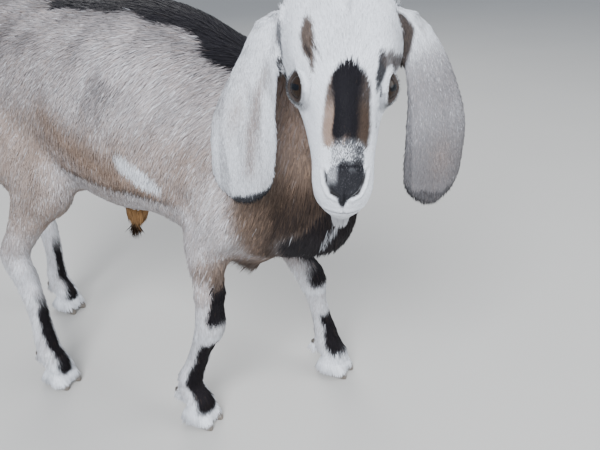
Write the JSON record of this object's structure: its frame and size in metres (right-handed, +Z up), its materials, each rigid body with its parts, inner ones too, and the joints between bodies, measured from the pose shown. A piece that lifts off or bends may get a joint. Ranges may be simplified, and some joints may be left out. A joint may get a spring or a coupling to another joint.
{
  "type": "nubian goat",
  "caption": "Young Nubian goat standing with its head turned to its right, with long hanging ears, a convex nose, a patched roan coat and split hooves.",
  "frame": {"origin": "on the ground, under the middle of the goat's box", "axes": "+X towards the goat's front, +Y to its left, +Z up"},
  "size_m": [0.8056, 0.2764, 0.6247],
  "materials": {
    "coat": "short dense hair",
    "face_white": "short sleek hair",
    "horn": "dry hoof horn",
    "eye": "wet"
  },
  "bodies": {
    "root": {"claw_fore_left_left": "horn", "claw_fore_left_right": "horn", "claw_fore_right_left": "horn", "claw_fore_right_right": "horn", "claw_hind_left_left": "horn", "claw_hind_left_right": "horn", "claw_hind_right_left": "horn", "claw_hind_right_right": "horn", "dewclaw_fore_left_left": "horn", "dewclaw_fore_left_right": "horn", "dewclaw_fore_right_left": "horn", "dewclaw_fore_right_right": "horn", "dewclaw_hind_left_left": "horn", "dewclaw_hind_left_right": "horn", "dewclaw_hind_right_left": "horn", "dewclaw_hind_right_right": "horn", "ear_left": "face_white", "ear_right": "face_white", "eye_left": "eye", "eye_right": "eye", "head": "face_white", "leg_fore_left": "coat", "leg_fore_right": "coat", "leg_hind_left": "coat", "leg_hind_right": "coat", "neck": "coat", "sheath": "coat", "tail": "coat", "torso": "coat"}
  },
  "joints": []
}
